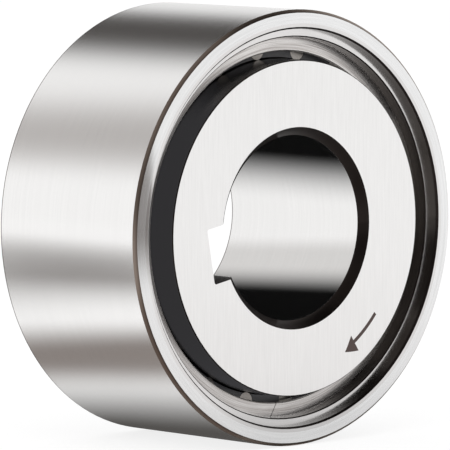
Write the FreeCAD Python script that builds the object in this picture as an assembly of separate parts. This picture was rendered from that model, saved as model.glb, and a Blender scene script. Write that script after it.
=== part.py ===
import FreeCAD, Part
import math
import os

# Sprag clutch that stands on its rim. The clutch axis is Y, the front face looks along -Y
# and +Z is up. The origin is on the axis, midway between the two end faces.

# Rings, from the bore outwards
BORE_DIAMETER = 20.0
INNER_WALL = 8.1
RACE_GAP = 2.45
OUTER_WALL = 2.95
RING_WIDTH = 21.7
INNER_EDGE_BREAK = 0.1
BORE_CHAMFER = 0.9

# Outer ring's edges and the shallow recess at each end
RING_EDGE_CHAMFER = 0.35
RECESS_RIM = 2.07
RECESS_DEPTH = 1.0
RECESS_EDGE_CHAMFER = 0.2
RACE_EDGE_BREAK = 0.12

# Keyway for a parallel key
KEYWAY_WIDTH = 6.0
KEYWAY_DEPTH = 2.8
KEYWAY_CORNER_RADIUS = 0.25
KEYWAY_ANGLE = 190.5

# Split retaining rings in the outer ring's grooves
RETAINER_RACE_GAP = 0.87
RETAINER_THICKNESS = 1.2
RETAINER_SEAT = 0.6
RETAINER_EDGE_CHAMFER = 0.12
RETAINER_FACE_DEPTH = 2.45
RETAINER_FIT = 0.02
RETAINER_SLIT = 0.08
RETAINER_SLIT_SLANT = 27.0
FRONT_SLIT_ANGLE = 266.3
BACK_SLIT_ANGLE = 90.0

# Cage
CAGE_SIDE_PLAY = 0.35
CAGE_RACE_CLEARANCE = 0.15
CAGE_END_THICKNESS = 1.3
POCKET_CLEARANCE = 0.17
POCKET_SIDE_PLAY = 0.1

# Sprags
SPRAG_COUNT = 20
SPRAG_PHASE = 6.5
SPRAG_RACE_CLEARANCE = 0.03
SPRAG_FOOT_RADIUS = 1.0
SPRAG_HEAD_RADIUS = 1.9
SPRAG_HEAD_HALF_ANGLE = 45.0
SPRAG_STRUT_OFFSET = 0.25
SPRAG_SHOULDER_ROUNDING = 0.18
SPRAG_WAIST_ANGLE = 15.0
SPRAG_TURN = 6.0
TRUNNION_CLEARANCE = 0.05

# Energising spring, a closely wound garter coil closed into a ring
SPRING_COIL_DIAMETER = 0.66
SPRING_PROFILE_SIDES = 6
SPRING_GROOVE_WIDTH = 1.0
SPRING_RACE_CLEARANCE = 0.2
SPRING_FLOOR_CLEARANCE = 0.17

# Radii and depths that follow from the sizes above
BORE_RADIUS = BORE_DIAMETER / 2
INNER_RACE_RADIUS = BORE_RADIUS + INNER_WALL
OUTER_RACE_RADIUS = INNER_RACE_RADIUS + RACE_GAP
RING_RADIUS = OUTER_RACE_RADIUS + OUTER_WALL
RECESS_RADIUS = RING_RADIUS - RECESS_RIM
RETAINER_INNER_RADIUS = INNER_RACE_RADIUS + RETAINER_RACE_GAP
RETAINER_OUTER_RADIUS = OUTER_RACE_RADIUS + RETAINER_SEAT
GROOVE_RADIUS = RETAINER_OUTER_RADIUS + RETAINER_FIT
FRONT_Y = -RING_WIDTH / 2
RETAINER_FRONT_Y = FRONT_Y + RETAINER_FACE_DEPTH
CAGE_FRONT_Y = RETAINER_FRONT_Y + RETAINER_THICKNESS + CAGE_SIDE_PLAY
CAGE_LENGTH = -2 * CAGE_FRONT_Y
CAGE_INNER_RADIUS = INNER_RACE_RADIUS + CAGE_RACE_CLEARANCE
CAGE_OUTER_RADIUS = OUTER_RACE_RADIUS - CAGE_RACE_CLEARANCE
POCKET_LENGTH = CAGE_LENGTH - 2 * CAGE_END_THICKNESS
HEAD_LENGTH = POCKET_LENGTH - 2 * POCKET_SIDE_PLAY
PIVOT_RADIUS = INNER_RACE_RADIUS + SPRAG_RACE_CLEARANCE + SPRAG_FOOT_RADIUS
HEAD_CENTRE_RADIUS = OUTER_RACE_RADIUS - SPRAG_RACE_CLEARANCE - SPRAG_HEAD_RADIUS
SPRING_TOP_RADIUS = OUTER_RACE_RADIUS - SPRING_RACE_CLEARANCE
SPRING_RADIUS = SPRING_TOP_RADIUS - SPRING_COIL_DIAMETER / 2
SPRING_FLOOR_RADIUS = SPRING_RADIUS - SPRING_COIL_DIAMETER / 2 - SPRING_FLOOR_CLEARANCE

AXIS_POINT = FreeCAD.Vector(0, 0, 0)
AXIS = FreeCAD.Vector(0, 1, 0)


def turned(profile):
    """Turn a closed outline of (radius, y) points about the clutch axis."""
    points = [FreeCAD.Vector(radius, y, 0) for radius, y in profile]
    points.append(points[0])
    face = Part.Face(Part.makePolygon(points))
    return face.revolve(AXIS_POINT, AXIS, 360)


def mirrored_profile(front_half):
    """Close a half outline, given from one side to the other at the front, with its rear copy."""
    rear_half = [(radius, -y) for radius, y in reversed(front_half)]
    return front_half + rear_half


def placed_at_angle(shape, angle):
    """Turn a shape built on the +X side round the axis, anticlockwise seen from the front."""
    turned_copy = shape.copy()
    turned_copy.rotate(AXIS_POINT, AXIS, -angle)
    return turned_copy


def block(x_from, x_to, y_from, y_to, z_from, z_to):
    """Square-cornered block between two opposite corners."""
    size = (x_to - x_from, y_to - y_from, z_to - z_from)
    return Part.makeBox(*size, FreeCAD.Vector(x_from, y_from, z_from))


def make_outer_ring():
    """Hardened ring: shallow recess at each end, ground race, two retaining-ring grooves."""
    groove_front = RETAINER_FRONT_Y - RETAINER_FIT
    groove_back = RETAINER_FRONT_Y + RETAINER_THICKNESS + RETAINER_FIT
    recess_y = FRONT_Y + RECESS_DEPTH
    outside = [
        (RING_RADIUS, FRONT_Y + RING_EDGE_CHAMFER),
        (RING_RADIUS - RING_EDGE_CHAMFER, FRONT_Y),
    ]
    inside = [
        (RECESS_RADIUS + RECESS_EDGE_CHAMFER, FRONT_Y),
        (RECESS_RADIUS, FRONT_Y + RECESS_EDGE_CHAMFER),
        (RECESS_RADIUS, recess_y),
        (OUTER_RACE_RADIUS + RACE_EDGE_BREAK, recess_y),
        (OUTER_RACE_RADIUS, recess_y + RACE_EDGE_BREAK),
        (OUTER_RACE_RADIUS, groove_front),
        (GROOVE_RADIUS, groove_front),
        (GROOVE_RADIUS, groove_back),
        (OUTER_RACE_RADIUS, groove_back),
    ]
    return turned(mirrored_profile(outside + inside))


def make_keyway_cutter():
    """Bar that cuts the keyway, with its two bottom corners rounded."""
    reach = BORE_RADIUS + KEYWAY_DEPTH
    half_length = RING_WIDTH / 2 + BORE_CHAMFER
    half_width = KEYWAY_WIDTH / 2
    bar = block(0, reach, -half_length, half_length, -half_width, half_width)
    bottom_edges = []
    for edge in bar.Edges:
        middle = edge.CenterOfMass
        on_bottom = abs(middle.x - reach) < 1e-6
        along_axis = abs(middle.y) < 1e-6
        at_side = abs(abs(middle.z) - half_width) < 1e-6
        if on_bottom and along_axis and at_side:
            bottom_edges.append(edge)
    return bar.makeFillet(KEYWAY_CORNER_RADIUS, bottom_edges)


def make_inner_ring():
    """Hardened ring: ground race outside, chamfered bore with one keyway inside."""
    front_half = [
        (INNER_RACE_RADIUS, FRONT_Y + INNER_EDGE_BREAK),
        (INNER_RACE_RADIUS - INNER_EDGE_BREAK, FRONT_Y),
        (BORE_RADIUS + BORE_CHAMFER, FRONT_Y),
        (BORE_RADIUS, FRONT_Y + BORE_CHAMFER),
    ]
    ring = turned(mirrored_profile(front_half))
    keyway = placed_at_angle(make_keyway_cutter(), KEYWAY_ANGLE)
    return ring.cut(keyway)


def make_retaining_ring(front_y, slit_angle):
    """Flat spring-steel ring, split by one slanted slit so that it snaps into its groove."""
    back_y = front_y + RETAINER_THICKNESS
    ring = turned([
        (RETAINER_OUTER_RADIUS, front_y),
        (RETAINER_INNER_RADIUS + RETAINER_EDGE_CHAMFER, front_y),
        (RETAINER_INNER_RADIUS, front_y + RETAINER_EDGE_CHAMFER),
        (RETAINER_INNER_RADIUS, back_y - RETAINER_EDGE_CHAMFER),
        (RETAINER_INNER_RADIUS + RETAINER_EDGE_CHAMFER, back_y),
        (RETAINER_OUTER_RADIUS, back_y),
    ])
    middle_radius = (RETAINER_INNER_RADIUS + RETAINER_OUTER_RADIUS) / 2
    half_reach = RETAINER_OUTER_RADIUS - RETAINER_INNER_RADIUS
    half_slit = RETAINER_SLIT / 2
    slit = block(-half_reach, half_reach, front_y - 1, back_y + 1, -half_slit, half_slit)
    slit.rotate(AXIS_POINT, AXIS, RETAINER_SLIT_SLANT)
    slit.translate(FreeCAD.Vector(middle_radius, 0, 0))
    return ring.cut(placed_at_angle(slit, slit_angle))


def waist_arc(side):
    """Hollow arc from the foot up to one head shoulder, tangent to the foot's circle.

    The side is 1 for the flank that faces anticlockwise and -1 for the other.
    """
    half_angle = math.radians(SPRAG_HEAD_HALF_ANGLE)
    waist_angle = math.radians(SPRAG_WAIST_ANGLE)
    foot = FreeCAD.Vector(PIVOT_RADIUS, 0, 0)
    head = FreeCAD.Vector(HEAD_CENTRE_RADIUS, 0, SPRAG_STRUT_OFFSET)
    to_shoulder = FreeCAD.Vector(math.cos(half_angle), 0, side * math.sin(half_angle))
    shoulder = head + to_shoulder * SPRAG_HEAD_RADIUS
    outward = FreeCAD.Vector(math.sin(waist_angle), 0, side * math.cos(waist_angle))
    reach = shoulder - foot
    overhang = reach.dot(outward) - SPRAG_FOOT_RADIUS
    centre_distance = (reach.dot(reach) - SPRAG_FOOT_RADIUS ** 2) / (2 * overhang)
    centre = foot + outward * centre_distance
    arc_radius = centre_distance - SPRAG_FOOT_RADIUS
    to_middle = (shoulder - centre).normalize() - outward
    middle = centre + to_middle.normalize() * arc_radius
    start = foot + outward * SPRAG_FOOT_RADIUS
    return start, middle, shoulder


def sprag_outline():
    """Sprag outline on the +X side: round foot on the inner race, wider head on the outer one.

    The foot's centre is the pivot. The head's centre is set off anticlockwise from it, so the
    sprag stands taller, and wedges, when the outer ring drags it clockwise.
    """
    foot_tip = FreeCAD.Vector(PIVOT_RADIUS - SPRAG_FOOT_RADIUS, 0, 0)
    head_top = FreeCAD.Vector(HEAD_CENTRE_RADIUS + SPRAG_HEAD_RADIUS, 0, SPRAG_STRUT_OFFSET)
    left_foot, left_waist, left_shoulder = waist_arc(1)
    right_foot, right_waist, right_shoulder = waist_arc(-1)
    edges = [
        Part.Arc(left_foot, foot_tip, right_foot).toShape(),
        Part.Arc(right_foot, right_waist, right_shoulder).toShape(),
        Part.Arc(right_shoulder, head_top, left_shoulder).toShape(),
        Part.Arc(left_shoulder, left_waist, left_foot).toShape(),
    ]
    return Part.Face(Part.Wire(edges))


def make_first_sprag():
    """One sprag on the +X side: full body between the cage ends, round trunnions through them."""
    body = sprag_outline().extrude(FreeCAD.Vector(0, HEAD_LENGTH, 0))
    body.translate(FreeCAD.Vector(0, -HEAD_LENGTH / 2, 0))
    shoulder_x = HEAD_CENTRE_RADIUS
    shoulder_x += SPRAG_HEAD_RADIUS * math.cos(math.radians(SPRAG_HEAD_HALF_ANGLE))
    shoulder_edges = []
    for edge in body.Edges:
        middle = edge.CenterOfMass
        if abs(middle.y) < 1e-6 and abs(middle.x - shoulder_x) < 1e-6:
            shoulder_edges.append(edge)
    body = body.makeFillet(SPRAG_SHOULDER_ROUNDING, shoulder_edges)
    trunnion_start = FreeCAD.Vector(PIVOT_RADIUS, -CAGE_LENGTH / 2, 0)
    trunnion = Part.makeCylinder(SPRAG_FOOT_RADIUS, CAGE_LENGTH, trunnion_start, AXIS)
    groove = spring_groove(SPRING_FLOOR_RADIUS)
    return body.fuse(trunnion).cut(groove).removeSplitter()


def spring_groove(floor_radius):
    """Ring of material that the spring groove takes away outside a floor radius."""
    half_width = SPRING_GROOVE_WIDTH / 2
    return turned([
        (floor_radius, -half_width),
        (RING_RADIUS, -half_width),
        (RING_RADIUS, half_width),
        (floor_radius, half_width),
    ])


def make_cage():
    """Moulded cage: two end rings joined by bars, a pocket and two trunnion holes per sprag."""
    front_half = [(CAGE_OUTER_RADIUS, CAGE_FRONT_Y), (CAGE_INNER_RADIUS, CAGE_FRONT_Y)]
    cage = turned(mirrored_profile(front_half)).cut(spring_groove(SPRING_FLOOR_RADIUS))
    shoulder_reach = SPRAG_HEAD_RADIUS * math.sin(math.radians(SPRAG_HEAD_HALF_ANGLE))
    head_height = HEAD_CENTRE_RADIUS - PIVOT_RADIUS + shoulder_reach
    tilt_reach = head_height * math.sin(math.radians(SPRAG_TURN))
    left_wall = SPRAG_STRUT_OFFSET + shoulder_reach + tilt_reach + POCKET_CLEARANCE
    right_wall = SPRAG_STRUT_OFFSET - shoulder_reach - POCKET_CLEARANCE
    half_pocket = POCKET_LENGTH / 2
    pocket = block(BORE_RADIUS, RING_RADIUS, -half_pocket, half_pocket, right_wall, left_wall)
    hole_start = FreeCAD.Vector(PIVOT_RADIUS, -CAGE_LENGTH, 0)
    hole_radius = SPRAG_FOOT_RADIUS + TRUNNION_CLEARANCE
    hole = Part.makeCylinder(hole_radius, 2 * CAGE_LENGTH, hole_start, AXIS)
    cutters = []
    for angle in sprag_angles():
        cutters.append(placed_at_angle(pocket, angle))
        cutters.append(placed_at_angle(hole, angle))
    return cage.cut(cutters)


def make_spring():
    """Envelope of the garter coil that lies in the grooves of the sprags and the cage."""
    coil_radius = SPRING_COIL_DIAMETER / 2
    profile = []
    for corner in range(SPRING_PROFILE_SIDES):
        turn = 2 * math.pi * corner / SPRING_PROFILE_SIDES
        profile.append((SPRING_RADIUS + coil_radius * math.cos(turn), coil_radius * math.sin(turn)))
    return turned(profile)


def sprag_angles():
    """Angles of the sprags round the axis, anticlockwise from +X seen from the front."""
    return [SPRAG_PHASE + index * 360 / SPRAG_COUNT for index in range(SPRAG_COUNT)]


os.makedirs("parts", exist_ok=True)

pieces = {
    "outer_ring": make_outer_ring(),
    "inner_ring": make_inner_ring(),
    "front_retaining_ring": make_retaining_ring(RETAINER_FRONT_Y, FRONT_SLIT_ANGLE),
    "back_retaining_ring": make_retaining_ring(
        -RETAINER_FRONT_Y - RETAINER_THICKNESS, BACK_SLIT_ANGLE),
    "cage": make_cage(),
    "energising_spring": make_spring(),
}
first_sprag = make_first_sprag()
for number, angle in enumerate(sprag_angles(), start=1):
    pieces[f"sprag_{number:02d}"] = placed_at_angle(first_sprag, angle)

for name, shape in pieces.items():
    shape.exportStep(f"parts/{name}.step")
    box = shape.BoundBox
    print(name, shape.isValid(), len(shape.Solids), round(shape.Volume, 3),
          [round(value, 2) for value in (box.XLength, box.YLength, box.ZLength)])
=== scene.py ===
import math

import bpy
from mathutils import Matrix, Vector


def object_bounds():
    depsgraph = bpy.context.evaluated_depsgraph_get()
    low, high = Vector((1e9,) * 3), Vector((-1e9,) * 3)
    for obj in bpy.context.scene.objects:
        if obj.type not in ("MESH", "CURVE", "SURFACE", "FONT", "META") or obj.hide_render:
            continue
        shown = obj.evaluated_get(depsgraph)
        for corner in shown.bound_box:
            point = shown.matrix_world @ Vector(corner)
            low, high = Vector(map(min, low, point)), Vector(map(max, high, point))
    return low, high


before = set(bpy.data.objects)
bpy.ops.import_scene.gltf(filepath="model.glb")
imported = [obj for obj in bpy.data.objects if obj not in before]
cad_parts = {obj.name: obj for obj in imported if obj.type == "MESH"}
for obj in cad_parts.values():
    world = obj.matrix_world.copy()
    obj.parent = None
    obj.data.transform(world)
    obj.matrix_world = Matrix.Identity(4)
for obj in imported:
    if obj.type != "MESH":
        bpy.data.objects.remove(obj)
cad_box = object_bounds()

# Inner ring
# Through-hardened bearing steel. Its race, bore and faces are ground: the faces with a straight,
# nearly upright lay, the race and bore round the axis. The chamfers and the keyway are only
# turned and broached, so they keep the brown-black of the heat treatment; the chamfers are also
# painted near-black as shade.

MM = 0.001


def linear(hex_colour):
    """Turn an sRGB hex colour into linear RGBA."""
    channels = []
    for start in (1, 3, 5):
        value = int(hex_colour[start:start + 2], 16) / 255
        if value <= 0.04045:
            channels.append(value / 12.92)
        else:
            channels.append(((value + 0.055) / 1.055) ** 2.4)
    return (*channels, 1)


def new_material(name):
    """Start an empty node material."""
    material = bpy.data.materials.new(name)
    material.use_nodes = True
    material.node_tree.nodes.clear()
    return material


def add_node(tree, kind, settings, links):
    """Add a shader node, set its properties and sockets by name, and link sockets into it."""
    node = tree.nodes.new("ShaderNode" + kind)
    for name, value in settings.items():
        if isinstance(name, str) and hasattr(node, name):
            setattr(node, name, value)
        else:
            node.inputs[name].default_value = value
    for name, socket in links.items():
        tree.links.new(socket, node.inputs[name])
    return node


def dress(node_name, material):
    """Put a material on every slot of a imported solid."""
    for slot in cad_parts[node_name].material_slots:
        slot.material = material


def place_in_mm(tree):
    """Object-space place in millimetres: the vector, and its X, Y and Z by name."""
    here = add_node(tree, "TexCoord", {}, {})
    in_mm = add_node(tree, "VectorMath", {"operation": "SCALE", "Scale": 1 / MM},
                     {0: here.outputs["Object"]})
    parts = add_node(tree, "SeparateXYZ", {}, {0: in_mm.outputs[0]})
    return in_mm.outputs[0], parts.outputs


def out_from_axis(tree, place):
    """Vector from the clutch axis straight out to a place, and its length, the radius."""
    outward = add_node(tree, "CombineXYZ", {}, {"X": place["X"], "Z": place["Z"]})
    radius = add_node(tree, "VectorMath", {"operation": "LENGTH"}, {0: outward.outputs[0]})
    return outward.outputs[0], radius.outputs["Value"]


def round_lay(tree, outward, across, per_radian, per_mm):
    """Lay that runs round the axis: marks per radian along it, and per millimetre across it."""
    unit = add_node(tree, "VectorMath", {"operation": "NORMALIZE"}, {0: outward})
    spread = add_node(tree, "VectorMath", {"operation": "SCALE", "Scale": per_radian},
                      {0: unit.outputs[0]})
    spaced = add_node(tree, "Math", {"operation": "MULTIPLY", 1: per_mm}, {0: across})
    lift = add_node(tree, "CombineXYZ", {}, {"Y": spaced.outputs[0]})
    return add_node(tree, "VectorMath", {"operation": "ADD"},
                    {0: spread.outputs[0], 1: lift.outputs[0]})


def ground_steel(name, face_lay, face_scales, face_tones, face_roughness, ledge_roughness,
                 inner_edges="#2a2523"):
    """Ground bearing steel with dark turned chamfers, and painted shade on its chamfers, ledges
    and walls and along its back edge.

    A face lay is "straight" or "round". Its scales are scratches per millimetre across it, and
    along it per millimetre if straight or per radian if round; its tones are their hollows and
    ridges. Real grinding lines are some 0.02 mm apart, too fine for the render, so they are drawn
    about ten times as coarse. The eye sees near-white metal, soft bands of the room and faint
    scratches.
    """
    material = new_material(name)
    tree = material.node_tree
    in_mm, place = place_in_mm(tree)
    outward, radius = out_from_axis(tree, place)

    scratches_across, scratches_along = face_scales
    if face_lay == "straight":
        lay_slant = math.radians(-7)
        face_scratches = add_node(tree, "Mapping",
                                  {"Rotation": (0, lay_slant, 0),
                                   "Scale": (scratches_across, 1, scratches_along)},
                                  {"Vector": in_mm})
    else:
        face_scratches = round_lay(tree, outward, radius, scratches_along, scratches_across)
    face_marks = add_node(tree, "TexNoise", {"Scale": 1.0, "Detail": 3.0, "Roughness": 0.6},
                          {"Vector": face_scratches.outputs[0]})
    # The outside and the races are ground round the axis, with lines 0.2 mm apart along Y.
    line_gap = 0.2
    round_scratches = round_lay(tree, outward, place["Y"], 1.5, 1 / line_gap)
    round_marks = add_node(tree, "TexNoise", {"Scale": 1.0, "Detail": 3.0, "Roughness": 0.6},
                           {"Vector": round_scratches.outputs[0]})

    # How far a surface looks along the axis tells faces, chamfers and round walls apart.
    face_from = 0.9
    slope_from = 0.3
    facing = add_node(tree, "TexCoord", {}, {})
    looks = add_node(tree, "SeparateXYZ", {}, {0: facing.outputs["Normal"]})
    along = add_node(tree, "Math", {"operation": "ABSOLUTE"}, {0: looks.outputs["Y"]})
    is_face = add_node(tree, "Math", {"operation": "GREATER_THAN", 1: face_from},
                       {0: along.outputs[0]})
    is_sloped = add_node(tree, "Math", {"operation": "GREATER_THAN", 1: slope_from},
                         {0: along.outputs[0]})
    is_round = add_node(tree, "Math", {"operation": "SUBTRACT", 0: 1.0},
                        {1: is_sloped.outputs[0]})
    is_chamfer = add_node(tree, "Math", {"operation": "SUBTRACT"},
                          {0: is_sloped.outputs[0], 1: is_face.outputs[0]})

    marks = add_node(tree, "Mix", {"data_type": "FLOAT"},
                     {0: is_face.outputs[0], 2: round_marks.outputs[0], 3: face_marks.outputs[0]})
    tint = add_node(tree, "MapRange", {"From Min": 0.3, "From Max": 0.7},
                    {"Value": marks.outputs[0]})
    round_tone = add_node(tree, "Mix", {"data_type": "RGBA", 6: linear("#f2f1f0"),
                                        7: linear("#f6f5f4")},
                          {0: tint.outputs[0]})
    face_tone = add_node(tree, "Mix", {"data_type": "RGBA", 6: linear(face_tones[0]),
                                       7: linear(face_tones[1])},
                         {0: tint.outputs[0]})
    colour = add_node(tree, "Mix", {"data_type": "RGBA"},
                      {0: is_face.outputs[0], 6: round_tone.outputs[2], 7: face_tone.outputs[2]})

    # The ledges and walls between the rings, 18 to 22 mm from the axis, are hard-turned and carry
    # painted shade of the recess: the ledges a little darker, the walls more, those of the outer
    # ring near-black, and the walls mirror each other.
    gap_middle = 20.0
    gap_half = 2.0
    outer_walls_from = 19.9
    between = add_node(tree, "Math", {"operation": "COMPARE", 1: gap_middle, 2: gap_half},
                       {0: radius})
    ledge = add_node(tree, "Math", {"operation": "MULTIPLY"},
                     {0: between.outputs[0], 1: is_face.outputs[0]})
    # Painted shade: the ledges are a little darker.
    colour = add_node(tree, "Mix", {"data_type": "RGBA", "blend_type": "MULTIPLY",
                                    7: linear("#f1efee")},
                      {0: ledge.outputs[0], 6: colour.outputs[2]})
    wall = add_node(tree, "Math", {"operation": "MULTIPLY"},
                    {0: between.outputs[0], 1: is_round.outputs[0]})
    outer_wall = add_node(tree, "Math", {"operation": "GREATER_THAN", 1: outer_walls_from},
                          {0: radius})
    # Painted shade: the outer ring's walls near-black, the inner ones grey.
    wall_colour_and_shade = add_node(tree, "Mix", {"data_type": "RGBA", 6: linear("#a6a4a3"),
                                         7: linear("#4a4643")},
                           {0: outer_wall.outputs[0]})
    colour = add_node(tree, "Mix", {"data_type": "RGBA"},
                      {0: wall.outputs[0], 6: colour.outputs[2], 7: wall_colour_and_shade.outputs[2]})

    # Painted shade: the outside and the bore turn grey from 0.12 mm short of their back edge, a
    # dark line along that edge.
    bore_within = 11.0
    outside_back_shade_from = 10.38
    bore_back_shade_from = 9.83
    in_bore = add_node(tree, "Math", {"operation": "LESS_THAN", 1: bore_within}, {0: radius})
    back_shade_from = add_node(tree, "Mix", {"data_type": "FLOAT", 2: outside_back_shade_from,
                                       3: bore_back_shade_from},
                         {0: in_bore.outputs[0]})
    beyond = add_node(tree, "Math", {"operation": "GREATER_THAN"},
                      {0: place["Y"], 1: back_shade_from.outputs[0]})
    back_edge_shade = add_node(tree, "Math", {"operation": "MULTIPLY"},
                        {0: beyond.outputs[0], 1: is_round.outputs[0]})
    colour = add_node(tree, "Mix", {"data_type": "RGBA", 7: linear("#8f8b89")},
                      {0: back_edge_shade.outputs[0], 6: colour.outputs[2]})

    # The keyway's flanks lie 10.1 to 12.9 mm from the axis.
    keyway_middle = 11.5
    keyway_half = 1.4
    keyway = add_node(tree, "Math", {"operation": "COMPARE", 1: keyway_middle, 2: keyway_half},
                      {0: radius})
    flank = add_node(tree, "Math", {"operation": "MULTIPLY"},
                     {0: keyway.outputs[0], 1: is_round.outputs[0]})
    colour = add_node(tree, "Mix", {"data_type": "RGBA", 7: linear("#37302d")},
                      {0: flank.outputs[0], 6: colour.outputs[2]})

    # Chamfers are brown from the heat treatment on the outside of the clutch, with painted shade
    # making them darkest beside the face; inside the clutch they are painted blacker still as
    # shade.
    inside_within = 22.5
    rim_from = 23.16
    rim_to = 23.36
    inside = add_node(tree, "Math", {"operation": "LESS_THAN", 1: inside_within}, {0: radius})
    rim = add_node(tree, "MapRange", {"From Min": rim_from, "From Max": rim_to},
                   {"Value": radius})
    # Painted shade: the outside chamfers darken towards the face.
    rim_colour_and_shade = add_node(tree, "Mix", {"data_type": "RGBA", 6: linear("#635851"),
                                        7: linear("#8a7d74")},
                          {0: rim.outputs[0]})
    edge_colour_and_shade = add_node(tree, "Mix", {"data_type": "RGBA", 7: linear(inner_edges)},
                           {0: inside.outputs[0], 6: rim_colour_and_shade.outputs[2]})
    colour = add_node(tree, "Mix", {"data_type": "RGBA"},
                      {0: is_chamfer.outputs[0], 6: colour.outputs[2],
                       7: edge_colour_and_shade.outputs[2]})

    round_roughness = 0.22
    chamfer_roughness = 0.38
    roughness = add_node(tree, "Mix", {"data_type": "FLOAT", 2: round_roughness,
                                       3: face_roughness},
                         {0: is_face.outputs[0]})
    roughness = add_node(tree, "Mix", {"data_type": "FLOAT", 3: ledge_roughness},
                         {0: between.outputs[0], 2: roughness.outputs[0]})
    roughness = add_node(tree, "Mix", {"data_type": "FLOAT", 3: chamfer_roughness},
                         {0: is_chamfer.outputs[0], 2: roughness.outputs[0]})
    bump = add_node(tree, "Bump", {"Strength": 0.012, "Distance": 0.01 * MM},
                    {"Height": marks.outputs[0]})
    # The scratches spread reflections across the lay and keep them crisp along it. The straight
    # lay leans by 0.12 for each millimetre up.
    lay_direction = add_node(tree, "Tangent", {"direction_type": "RADIAL", "axis": "Y"},
                             {}).outputs[0]
    if face_lay == "straight":
        upright = add_node(tree, "CombineXYZ", {"X": -0.12, "Z": 1.0}, {})
        lay_direction = add_node(tree, "Mix", {"data_type": "VECTOR"},
                                 {0: is_face.outputs[0], 4: lay_direction,
                                  5: upright.outputs[0]}).outputs[1]
    shader = add_node(tree, "BsdfPrincipled", {"Metallic": 1.0, "Anisotropic": 0.8,
                                               "Anisotropic Rotation": 0.25},
                      {"Base Color": colour.outputs[2], "Roughness": roughness.outputs[0],
                       "Normal": bump.outputs[0], "Tangent": lay_direction})
    add_node(tree, "OutputMaterial", {}, {"Surface": shader.outputs[0]})
    return material


inner_ring_steel = ground_steel("ground bearing steel, straight lay", "straight", (5.0, 0.22),
                                ("#edeceb", "#f4f3f2"), 0.3, 0.2)
dress("inner_ring", inner_ring_steel)

# An arrow etched on the front face shows which way the inner ring drives. Angles run
# anticlockwise from +X as seen from the front, in degrees, and lengths are in millimetres.
SHAFT_RADIUS = 15.5
SHAFT_HALF_WIDTH = 0.21
SHAFT_MIDDLE = -48.1
SHAFT_HALF_ANGLE = 8.0
HEAD_RADIUS = 15.7
HEAD_HALF_WIDTH = 1.03
HEAD_BASE = -56.1
HEAD_TIP = -62.5
FRONT_FACE_BEFORE = -10.8

tree = inner_ring_steel.node_tree
_, place = place_in_mm(tree)
_, radius = out_from_axis(tree, place)
angle = add_node(tree, "Math", {"operation": "ARCTAN2"}, {0: place["Z"], 1: place["X"]})
degrees = add_node(tree, "Math", {"operation": "DEGREES"}, {0: angle.outputs[0]})
shaft_arc = add_node(tree, "Math", {"operation": "COMPARE", 1: SHAFT_MIDDLE,
                                    2: SHAFT_HALF_ANGLE},
                     {0: degrees.outputs[0]})
shaft_width = add_node(tree, "Math", {"operation": "COMPARE", 1: SHAFT_RADIUS,
                                      2: SHAFT_HALF_WIDTH},
                       {0: radius})
shaft = add_node(tree, "Math", {"operation": "MULTIPLY"},
                 {0: shaft_arc.outputs[0], 1: shaft_width.outputs[0]})
head_half = add_node(tree, "MapRange", {"From Min": HEAD_TIP, "From Max": HEAD_BASE,
                                        "To Max": HEAD_HALF_WIDTH},
                     {"Value": degrees.outputs[0]})
off_centre = add_node(tree, "Math", {"operation": "SUBTRACT", 1: HEAD_RADIUS}, {0: radius})
off_centre = add_node(tree, "Math", {"operation": "ABSOLUTE"}, {0: off_centre.outputs[0]})
in_head = add_node(tree, "Math", {"operation": "LESS_THAN"},
                   {0: off_centre.outputs[0], 1: head_half.outputs[0]})
before_base = add_node(tree, "Math", {"operation": "LESS_THAN", 1: HEAD_BASE},
                       {0: degrees.outputs[0]})
head = add_node(tree, "Math", {"operation": "MULTIPLY"},
                {0: in_head.outputs[0], 1: before_base.outputs[0]})
arrow = add_node(tree, "Math", {"operation": "MAXIMUM"},
                 {0: shaft.outputs[0], 1: head.outputs[0]})
on_front = add_node(tree, "Math", {"operation": "LESS_THAN", 1: FRONT_FACE_BEFORE},
                    {0: place["Y"]})
mark = add_node(tree, "Math", {"operation": "MULTIPLY"},
                {0: arrow.outputs[0], 1: on_front.outputs[0]})
base_colour = tree.nodes["Principled BSDF"].inputs["Base Color"]
etched = add_node(tree, "Mix", {"data_type": "RGBA", 7: linear("#5a4f4c")},
                  {0: mark.outputs[0], 6: base_colour.links[0].from_socket})
tree.links.new(etched.outputs[2], base_colour)

# Sprags
# Twenty drawn and hardened steel sprags, tumbled and lightly oiled. Only their round ends show,
# through the holes of the cage, as soft grey discs.

sprag_steel = new_material("drawn and hardened steel")
tree = sprag_steel.node_tree
in_mm, _ = place_in_mm(tree)
# Tumbling leaves spots about 0.2 mm across.
SPOT_SIZE = 0.2
spots = add_node(tree, "TexNoise", {"Scale": 1 / SPOT_SIZE, "Detail": 2.0}, {"Vector": in_mm})
colour = add_node(tree, "Mix", {"data_type": "RGBA", 6: linear("#857f79"), 7: linear("#a8a4a0")},
                  {0: spots.outputs[0]})
roughness = add_node(tree, "MapRange", {"To Min": 0.24, "To Max": 0.36},
                     {"Value": spots.outputs[0]})
shader = add_node(tree, "BsdfPrincipled", {"Metallic": 1.0},
                  {"Base Color": colour.outputs[2], "Roughness": roughness.outputs[0]})
add_node(tree, "OutputMaterial", {}, {"Surface": shader.outputs[0]})
for node_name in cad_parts:
    if node_name.startswith("sprag_"):
        dress(node_name, sprag_steel)

# Cage
# Injection-moulded black nylon. The eye sees a soft-sheened near-black with a faint moulded
# grain, darkest where it is deep between the rings.

cage_nylon = new_material("moulded black nylon")
tree = cage_nylon.node_tree
in_mm, _ = place_in_mm(tree)
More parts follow.
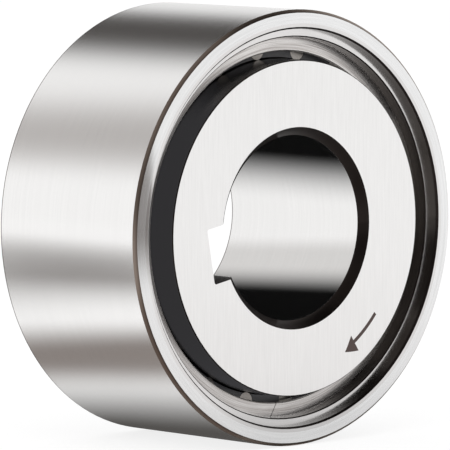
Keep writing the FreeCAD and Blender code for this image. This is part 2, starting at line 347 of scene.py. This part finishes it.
# The mould's grain is about 0.15 mm, so seven to the millimetre.
GRAINS_PER_MM = 7.0
grain = add_node(tree, "TexNoise", {"Scale": GRAINS_PER_MM, "Detail": 2.0}, {"Vector": in_mm})
colour = add_node(tree, "Mix", {"data_type": "RGBA", 6: linear("#525154"), 7: linear("#605f62")},
                  {0: grain.outputs[0]})
bump = add_node(tree, "Bump", {"Strength": 0.2, "Distance": 0.01 * MM},
                {"Height": grain.outputs[0]})
shader = add_node(tree, "BsdfPrincipled", {"Roughness": 0.38, "IOR": 1.53},
                  {"Base Color": colour.outputs[2], "Normal": bump.outputs[0]})
add_node(tree, "OutputMaterial", {}, {"Surface": shader.outputs[0]})
dress("cage", cage_nylon)

# Energising spring
# A garter spring of fine bright music wire, closely wound. It lies in the grooves of the sprags
# and the cage and hides behind them; its turns are drawn as ribs.

spring_wire = new_material("bright music wire")
tree = spring_wire.node_tree
_, place = place_in_mm(tree)
# Wire 0.12 mm thick, closely wound, makes 1060 ribs once round the ring.
RIBS = 1060.0
angle = add_node(tree, "Math", {"operation": "ARCTAN2"}, {0: place["Z"], 1: place["X"]})
phase = add_node(tree, "Math", {"operation": "MULTIPLY", 1: RIBS}, {0: angle.outputs[0]})
ribs = add_node(tree, "Math", {"operation": "SINE"}, {0: phase.outputs[0]})
bump = add_node(tree, "Bump", {"Strength": 0.5, "Distance": 0.03 * MM},
                {"Height": ribs.outputs[0]})
shader = add_node(tree, "BsdfPrincipled", {"Metallic": 1.0, "Base Color": linear("#bdbab6"),
                                           "Roughness": 0.25},
                  {"Normal": bump.outputs[0]})
add_node(tree, "OutputMaterial", {}, {"Surface": shader.outputs[0]})
dress("energising_spring", spring_wire)

# Outer ring
# The same bearing steel, ground round the axis on its outside, its race and its faces. The
# chamfers and the recess walls keep the brown-black of the heat treatment, darkened further by
# painted shade.

outer_ring_steel = ground_steel("ground bearing steel, round lay", "round", (4.0, 3.0),
                                ("#e5e5e5", "#f0f0f0"), 0.26, 0.15)
dress("outer_ring", outer_ring_steel)

# Retaining rings
# Flat split rings of spring steel, snapped into the grooves of the outer ring. They are turned
# on the faces, so fine grooves run round them, and their small edges are tumbled bright.

retainer_steel = ground_steel("turned spring steel", "round", (9.0, 2.5),
                              ("#b3aeab", "#f7f6f5"), 0.3, 0.24, inner_edges="#d9d5d2")
dress("front_retaining_ring", retainer_steel)
dress("back_retaining_ring", retainer_steel)

# Floor
# A plain white sweep. Camera and mirror rays see it white, and it keeps the soft shadow under
# the ring.


def seen_rays(tree):
    """1 for rays from the camera, off metal or through glass, and 0 for those that only light."""
    rays = add_node(tree, "LightPath", {}, {})
    seen = add_node(tree, "Math", {"operation": "ADD"},
                    {0: rays.outputs["Is Camera Ray"], 1: rays.outputs["Is Glossy Ray"]})
    seen = add_node(tree, "Math", {"operation": "ADD", "use_clamp": True},
                    {0: seen.outputs[0], 1: rays.outputs["Is Transmission Ray"]})
    return seen.outputs[0]


FLOOR_SIZE = 8
bpy.ops.mesh.primitive_plane_add(size=FLOOR_SIZE, location=(0, 0, cad_box[0][2]))
floor = bpy.context.object
floor.name = "floor"
floor_white = new_material("matt white paper")
tree = floor_white.node_tree
plain = add_node(tree, "BsdfDiffuse", {"Color": linear("#dadada")}, {})
shaded = add_node(tree, "BsdfDiffuse", {"Color": linear("#898989")}, {})
glow = add_node(tree, "Emission", {"Strength": 0.82}, {})
pale = add_node(tree, "AddShader", {}, {0: shaded.outputs[0], 1: glow.outputs[0]})
either = add_node(tree, "MixShader", {}, {0: seen_rays(tree), 1: plain.outputs[0],
                                          2: pale.outputs[0]})
add_node(tree, "OutputMaterial", {}, {"Surface": either.outputs[0]})
floor.data.materials.append(floor_white)

# Reflection cards: painted reflections
# Grey and black glowing cards, seen only by mirror rays, paint into the polished metal the bands
# a photographer's cards would give. They lie above and beside the clutch, and rolled sheets line
# it.


def fade(tree, value, clear_at, solid_at):
    """Soft step of a value, from 0 at one place to 1 at the other."""
    step = add_node(tree, "MapRange", {"interpolation_type": "SMOOTHSTEP", "From Min": clear_at,
                                       "From Max": solid_at},
                    {"Value": value})
    return step.outputs[0]


def mirror_card(name, grey, corners, faces, cover=None):
    """Stage mesh, in millimetres, that only mirror rays see.

    cover takes the node tree and the X, Y, Z outputs in millimetres, and returns the sockets that
    say how solid the card is; they are multiplied. Without it the card is solid.
    """
    mesh = bpy.data.meshes.new(name)
    mesh.from_pydata([(x * MM, y * MM, z * MM) for x, y, z in corners], [], faces)
    card = bpy.data.objects.new(name, mesh)
    bpy.context.scene.collection.objects.link(card)
    card.visible_camera = False
    card.visible_diffuse = False
    card.visible_shadow = False
    card.visible_transmission = False
    material = new_material(name)
    tree = material.node_tree
    paint = add_node(tree, "Emission", {"Color": linear(grey)}, {})
    surface = paint.outputs[0]
    if cover is not None:
        _, place = place_in_mm(tree)
        solid, *others = cover(tree, place)
        for other in others:
            solid = add_node(tree, "Math", {"operation": "MULTIPLY"},
                             {0: solid, 1: other}).outputs[0]
        clear = add_node(tree, "BsdfTransparent", {}, {})
        surface = add_node(tree, "MixShader", {}, {0: solid, 1: clear.outputs[0],
                                                   2: surface}).outputs[0]
    add_node(tree, "OutputMaterial", {}, {"Surface": surface})
    # Left to reflected rays alone, a card never lights through the card before it.
    material.cycles.emission_sampling = "NONE"
    mesh.materials.append(material)


def level_card(name, grey, height, x_range, y_range, fades, lean=0, drifts=(0, 0)):
    """Level card whose two long edges fade out over the given widths.

    Each edge drifts in X by its own share of Y, which turns its band out of line with the axis.
    Its ends shift towards +Y by lean for each millimetre towards -X.
    """
    corners = []
    for edge, drift, ends in zip(x_range, drifts, (y_range, y_range[::-1])):
        for end in ends:
            # A corner is where the drifting edge meets the leaning end.
            x = (edge + drift * end) / (1 + drift * lean)
            corners.append((x, end - lean * x, height))

    def cover(tree, place):
        shares = []
        for edge, drift, width in zip(x_range, drifts, (fades[0], -fades[1])):
            aside = add_node(tree, "Math", {"operation": "MULTIPLY_ADD", 1: -drift},
                             {0: place["Y"], 2: place["X"]})
            shares.append(fade(tree, aside.outputs[0], edge, edge + width))
        return shares

    mirror_card(name, grey, corners, [(0, 1, 2, 3)], cover)


level_card("overhead_black_card", "#403d3b", height=127, x_range=(-24, 195),
           y_range=(-300, 400), fades=(55, 112))
level_card("overhead_grey_card", "#b1adab", height=101, x_range=(-153, -11),
           y_range=(-300, 400), fades=(81, 38), drifts=(-0.31, -0.31))
# This one leans with the mirror rays of the outside, so that those of the bore miss it.
level_card("left_grey_card", "#888482", height=-23.2, x_range=(-370, -41.5),
           y_range=(-48, 4), fades=(243, 44), lean=1.058, drifts=(1.0, 0.62))
level_card("low_grey_card", "#8d8682", height=-23.1, x_range=(-37.3, -14.8),
           y_range=(-10.9, 34), fades=(11.1, 7.1), drifts=(0.28, 0.16))
# Painted shadow: this card lays the floor's shadow beside the ring into the reflections of its
# outside.
level_card("contact_shade_card", "#565452", height=-23.4, x_range=(-19.5, 60),
           y_range=(-10.9, 26), fades=(13, 45), drifts=(0.12, 0))
level_card("face_tone_card", "#f9f8f8", height=-23.45, x_range=(-10, 200),
           y_range=(-125, -11.2), fades=(30, 60))
# Painted shade: this card darkens the reflection in the bottom of the outer ring's face.
level_card("face_shade_card", "#d8d8d8", height=-23.35, x_range=(-10, 60),
           y_range=(-34, -11.2), fades=(9, 8))
# These two stand in front of the ring and darken its outer chamfer above and below.
level_card("front_upper_card", "#b4b0ae", height=105, x_range=(-150, 20),
           y_range=(-90, -10), fades=(40, 30), lean=-0.6)
level_card("front_low_card", "#aaa29e", height=-23.3, x_range=(-60, -5),
           y_range=(-50, -11), fades=(20, 4))

BORE_RADIUS = 10


def liner(name, grey, radius, y_range, turn, fades, twist=0):
    """Sheet rolled round the clutch axis, seen only in mirrors, from one angle in degrees up to
    the other.

    Angles run from 0 at the right to plus and minus 180 at the left. Each pair of fades is the
    angle where the sheet is still clear and the one where it is solid; both fall by the twist, in
    degrees, for each millimetre of Y. The sheet is one-sided: in the bore its outer side shows
    and between the rings its inner side, each to the steel close by.
    """
    first, last = turn
    steps = 48
    corners = []
    for step in range(steps + 1):
        angle = math.radians(first + (last - first) * step / steps)
        for y in y_range:
            corners.append((radius * math.cos(angle), y, radius * math.sin(angle)))
    faces = [(2 * step, 2 * step + 1, 2 * step + 3, 2 * step + 2) for step in range(steps)]

    def cover(tree, place):
        angle = add_node(tree, "Math", {"operation": "ARCTAN2"}, {0: place["Z"], 1: place["X"]})
        angle = add_node(tree, "Math", {"operation": "MULTIPLY_ADD", 1: math.radians(twist)},
                         {0: place["Y"], 2: angle.outputs[0]})
        side = add_node(tree, "NewGeometry", {}, {}).outputs["Backfacing"]
        if radius < BORE_RADIUS:
            side = add_node(tree, "Math", {"operation": "SUBTRACT", 0: 1.0}, {1: side}).outputs[0]
        return [side] + [fade(tree, angle.outputs[0], math.radians(clear_at),
                              math.radians(solid_at)) for clear_at, solid_at in fades]

    mirror_card(name, grey, corners, faces, cover)


# Painted shade and painted reflection in the bore: black sheets along its top and bottom leave
# one bright band on its side, and a white sheet inside them covers the rest.
liner("upper_bore_painted_shade", "#0e0e0e", radius=9.9, y_range=(-9.9, 10.8), turn=(8, 140),
      fades=[(8, 47), (140, 105)])
liner("lower_bore_painted_shade", "#0e0e0e", radius=9.9, y_range=(-9.9, 10.8), turn=(-140, -24),
      fades=[(-31, -53), (-140, -108)], twist=0.38)
liner("pale_bore_painted_shade", "#dddcdb", radius=9.85, y_range=(-10.0, 10.8), turn=(-60, -4),
      fades=[(-11, -23)], twist=0.38)
liner("white_bore_painted_reflection", "#fafafa", radius=9.8, y_range=(-10.2, 10.8), turn=(-100, 100),
      fades=[])

# Painted shade: a dark sheet stands across the mouth of the bore, where only its chamfer mirrors
# it.
MOUTH_SHADE_RADIUS = 9.6
MOUTH_SHADE_Y = -9.6
MOUTH_SHADE_SIDES = 32
mouth_angles = [2 * math.pi * side / MOUTH_SHADE_SIDES for side in range(MOUTH_SHADE_SIDES)]
mirror_card("bore_mouth_painted_shade", "#1a1817",
            [(MOUTH_SHADE_RADIUS * math.cos(angle), MOUTH_SHADE_Y,
              MOUTH_SHADE_RADIUS * math.sin(angle)) for angle in mouth_angles],
            [tuple(range(MOUTH_SHADE_SIDES))])

# Painted shade: another dark sheet, seen only in mirrors, lies 0.2 mm above the keyway's lower
# flank, 2.8 mm from the keyway's middle.
KEYWAY_ANGLE = math.radians(190.5)
KEYWAY_SHADE_OFFSET = 2.8
keyway_out = Vector((math.cos(KEYWAY_ANGLE), 0, math.sin(KEYWAY_ANGLE)))
keyway_side = Vector((-keyway_out.z, 0, keyway_out.x)) * KEYWAY_SHADE_OFFSET
mirror_card("keyway_painted_shade", "#504e4d",
            [keyway_out * reach + keyway_side + Vector((0, y, 0))
             for reach, y in ((9, -10.8), (13, -10.8), (13, 10.8), (9, 10.8))],
            [(0, 1, 2, 3)])

# Painted reflection: a grey sheet in the gap, seen only in mirrors, evens out the left side of
# the inner race.
liner("upper_gap_painted_reflection", "#505053", radius=18.4, y_range=(-10.7, -6.9), turn=(110, 180),
      fades=[(112, 140)])
liner("lower_gap_painted_reflection", "#505053", radius=18.4, y_range=(-10.7, -6.9), turn=(-180, -94),
      fades=[(-95, -112)])

# Painted shade: a black sheet close before the wall above the retaining ring, seen only in
# mirrors, keeps that ring's mirror of the wall dark. The wall itself looks out past its clear
# side.
liner("upper_wall_painted_shade", "#1f1c1b", radius=20.5, y_range=(-10.15, -8.42), turn=(28, 99),
      fades=[(28, 36), (99, 88)])
liner("lower_wall_painted_shade", "#1f1c1b", radius=20.5, y_range=(-9.84, -8.42), turn=(-106, -52),
      fades=[(-106, -94), (-52, -62)])

# Painted reflection: a narrow grey strip close in front of the left rim, seen only in mirrors,
# greys the middle of the outer ring's face.
STRIP_LEFT, STRIP_RIGHT = -23.5, -19.6
STRIP_FOOT, STRIP_TOP = -6.5, 18
STRIP_Y = -12.3
mirror_card("left_rim_painted_reflection", "#8e8a88",
            [(STRIP_LEFT, STRIP_Y, STRIP_FOOT), (STRIP_RIGHT, STRIP_Y, STRIP_FOOT),
             (STRIP_RIGHT, STRIP_Y, STRIP_TOP), (STRIP_LEFT, STRIP_Y, STRIP_TOP)],
            [(0, 1, 2, 3)],
            lambda tree, place: [fade(tree, place["X"], STRIP_RIGHT, STRIP_RIGHT - 0.3),
                                 fade(tree, place["Z"], STRIP_TOP, 5.5),
                                 fade(tree, place["Z"], STRIP_FOOT, 1)])

# A grey card round the lens, on the camera's own line of sight, darkens the chamfers and the
# corners that look back at it. It is clear below the clutch's middle.
camera_back = Vector((-0.681058, -0.726879, 0.088361))
camera_up = Vector((0.060415, 0.064483, 0.996089))
camera_right = Vector((0.729734, -0.683732, 0))
LENS_CARD_AWAY = 260
LENS_CARD_HALF_WIDTH = 150
LENS_CARD_HALF_HEIGHT = 130
mirror_card("lens_grey_card", "#7e7a78",
            [camera_back * LENS_CARD_AWAY + camera_right * across * LENS_CARD_HALF_WIDTH
             + camera_up * rise * LENS_CARD_HALF_HEIGHT
             for across, rise in ((-1, -1), (1, -1), (1, 1), (-1, 1))],
            [(0, 1, 2, 3)], lambda tree, place: [fade(tree, place["Z"], -30, 30)])

# Studio
# An even white room: the world lights the clutch from all round at a plain level. One large soft
# lamp above and to the left, which no metal mirrors, gives the shadow its side.

LIGHT_LEVEL = 0.8
WHITE_LEVEL = 1.0
world = bpy.data.worlds.new("white room")
bpy.context.scene.world = world
world.use_nodes = True
world.node_tree.nodes.clear()
tree = world.node_tree
strength = add_node(tree, "MapRange", {"To Min": LIGHT_LEVEL, "To Max": WHITE_LEVEL},
                    {"Value": seen_rays(tree)})
room = add_node(tree, "Background", {"Color": linear("#ffffff")},
                {"Strength": strength.outputs[0]})
add_node(tree, "OutputWorld", {}, {"Surface": room.outputs[0]})

LAMP_SIDE = 300
LAMP_PLACE = (-260, -180, 420)
LAMP_WATTS = 0.35
lamp_data = bpy.data.lights.new("soft key lamp", "AREA")
lamp_data.shape = "RECTANGLE"
lamp_data.size = LAMP_SIDE * MM
lamp_data.size_y = LAMP_SIDE * MM
lamp_data.energy = LAMP_WATTS
lamp = bpy.data.objects.new("soft_key_lamp", lamp_data)
bpy.context.scene.collection.objects.link(lamp)
lamp.location = Vector(LAMP_PLACE) * MM
lamp.rotation_euler = lamp.location.to_track_quat("Z", "Y").to_euler()
lamp.visible_glossy = False

# Camera
# A long lens 0.6 m in front and to the left of the clutch, 5 degrees above its axis. Its place
# and its turn were solved from the outlines of the rings.

CAMERA_PLACE = (-409.78, -436.92, 52.80)
FOCAL_LENGTH = 442.4
SENSOR_WIDTH = 36
camera_data = bpy.data.cameras.new("camera")
camera_data.sensor_width = SENSOR_WIDTH
camera_data.lens = FOCAL_LENGTH
camera_data.clip_start = 0.05
camera_data.clip_end = 20
camera = bpy.data.objects.new("camera", camera_data)
bpy.context.scene.collection.objects.link(camera)
orientation = Matrix((camera_right, camera_up, camera_back)).transposed().to_4x4()
camera.matrix_world = Matrix.Translation(Vector(CAMERA_PLACE) * MM) @ orientation
bpy.context.scene.camera = camera

bpy.context.scene.view_settings.view_transform = "Standard"
